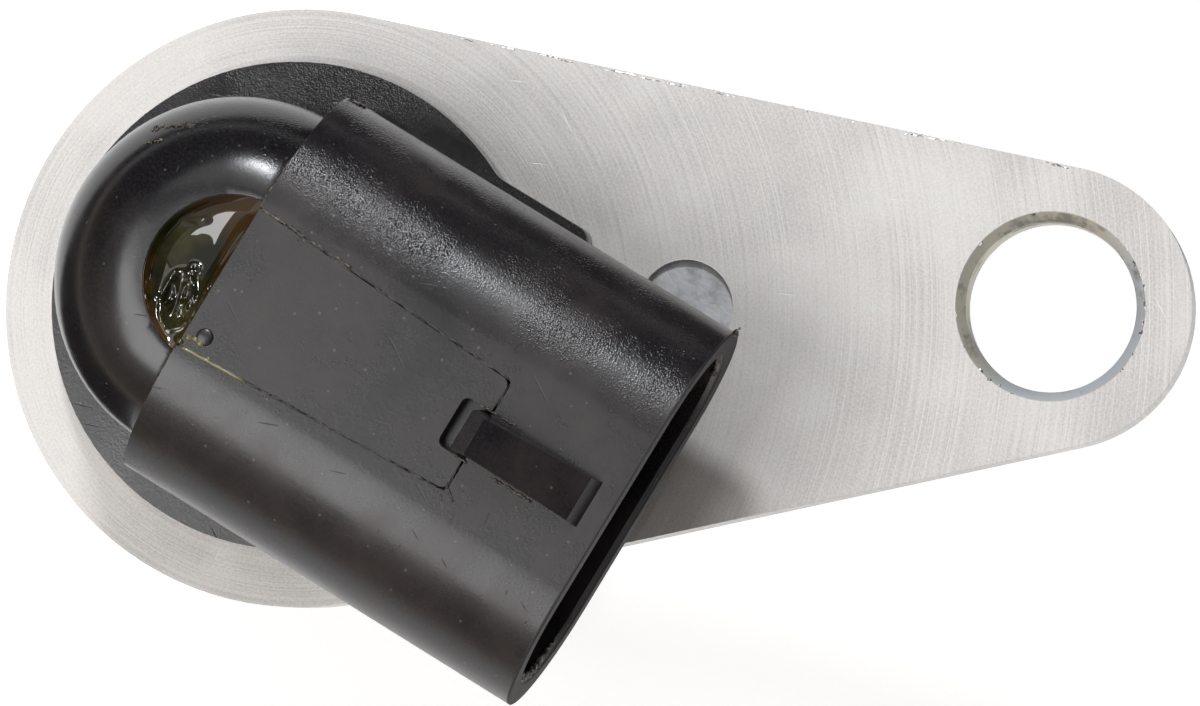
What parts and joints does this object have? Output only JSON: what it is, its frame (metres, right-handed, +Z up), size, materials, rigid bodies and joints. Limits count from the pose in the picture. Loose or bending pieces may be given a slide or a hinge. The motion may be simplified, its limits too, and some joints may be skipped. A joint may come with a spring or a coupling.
{
  "type": "camshaft position sensor",
  "caption": "Plug-in camshaft position sensor: moulded black barrel with a seal, elbow with a side connector socket, on a flat aluminium flange with an offset bolt ear.",
  "frame": {"origin": "centre of the flat sensing face at the barrel's tip", "axes": "+Z up the barrel towards the connector, +X the way the connector opens, the bolt ear points 31.25 degrees from +X towards +Y"},
  "size_m": [0.0449, 0.0344, 0.045],
  "materials": {
    "plate_aluminium": "faced and bare, with fine turning marks and handling scratches",
    "housing_plastic": "glossy black glass-filled polyester, slightly scuffed",
    "shroud_plastic": "semi-gloss black glass-filled polyester with flow marks and scuffs",
    "cover_plastic": "semi-gloss black",
    "resin": "clear amber-green cured potting resin, mirror smooth",
    "seal_rubber": "matte black seal rubber",
    "core_iron": "plain turned soft iron",
    "bobbin_plastic": "natural moulded nylon",
    "winding_copper": "enamelled copper wire",
    "tape": "polyester tape",
    "magnet_alloy": "ground magnet alloy",
    "inner_plastic": "plain black moulding",
    "terminal_metal": "tin-plated brass",
    "lead_copper": "enamelled copper",
    "solder": "bright solder"
  },
  "bodies": {
    "root": {"mounting_plate": "plate_aluminium", "sensor_housing": "housing_plastic", "connector_shroud": "shroud_plastic", "cavity_cover": "cover_plastic", "potting_resin": "resin", "o_ring": "seal_rubber", "pole_piece": "core_iron", "coil_bobbin": "bobbin_plastic", "coil_winding": "winding_copper", "winding_tape": "tape", "magnet": "magnet_alloy", "backing_disc": "core_iron", "stack_retainer": "inner_plastic", "terminal_carrier": "inner_plastic", "terminal_left": "terminal_metal", "terminal_right": "terminal_metal", "lead_wire_left": "lead_copper", "lead_wire_right": "lead_copper", "solder_joint_left": "solder", "solder_joint_right": "solder"}
  },
  "joints": []
}
